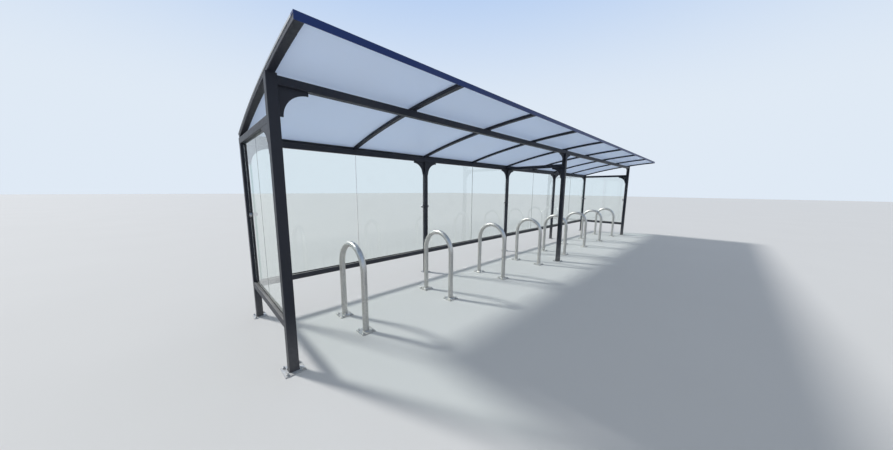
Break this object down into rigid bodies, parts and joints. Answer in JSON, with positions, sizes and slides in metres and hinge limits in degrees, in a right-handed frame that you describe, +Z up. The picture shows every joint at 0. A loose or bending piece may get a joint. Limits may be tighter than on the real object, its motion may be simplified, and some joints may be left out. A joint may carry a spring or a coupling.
{
  "type": "bike shelter",
  "caption": "Open bike shelter with a curved lean-to roof of opal sheet on dark steel posts, glass at the back and ends, and a row of steel parking hoops.",
  "frame": {"origin": "on the ground, in the middle of the shelter's outline", "axes": "+X along the shelter, the open side faces -Y, +Z up"},
  "size_m": [9.75, 1.97, 2.2715],
  "materials": {
    "frame_paint": "satin",
    "fascia_paint": "gloss",
    "galvanised": "satin",
    "clamp_steel": "satin",
    "strip_metal": "satin",
    "roof_sheet": "satin",
    "clear_glass": "gloss"
  },
  "bodies": {
    "root": {"front_post_1": "frame_paint", "front_post_2": "frame_paint", "front_post_3": "frame_paint", "rear_post_1": "frame_paint", "rear_post_2": "frame_paint", "rear_post_3": "frame_paint", "rear_post_4": "frame_paint", "rear_post_5": "frame_paint", "front_beam_1": "frame_paint", "front_beam_2": "frame_paint", "rear_beam_1": "frame_paint", "rear_beam_2": "frame_paint", "rafter_1": "frame_paint", "rafter_2": "frame_paint", "rafter_3": "frame_paint", "rafter_4": "frame_paint", "rafter_5": "frame_paint", "rafter_6": "frame_paint", "rafter_7": "frame_paint", "rafter_8": "frame_paint", "rafter_9": "frame_paint", "roof_panel_1": "roof_sheet", "roof_panel_2": "roof_sheet", "roof_panel_3": "roof_sheet", "roof_panel_4": "roof_sheet", "roof_panel_5": "roof_sheet", "roof_panel_6": "roof_sheet", "roof_panel_7": "roof_sheet", "roof_panel_8": "roof_sheet", "hoop_1": "galvanised", "hoop_2": "galvanised", "hoop_3": "galvanised", "hoop_4": "galvanised", "hoop_5": "galvanised", "hoop_6": "galvanised", "hoop_7": "galvanised", "hoop_8": "galvanised", "base_plates": "galvanised", "cross_ties": "frame_paint", "cover_strips": "strip_metal", "fascia": "fascia_paint", "knee_brackets": "frame_paint", "bottom_rails": "frame_paint", "glass_panes": "clear_glass", "glass_clamps": "clamp_steel"}
  },
  "joints": []
}
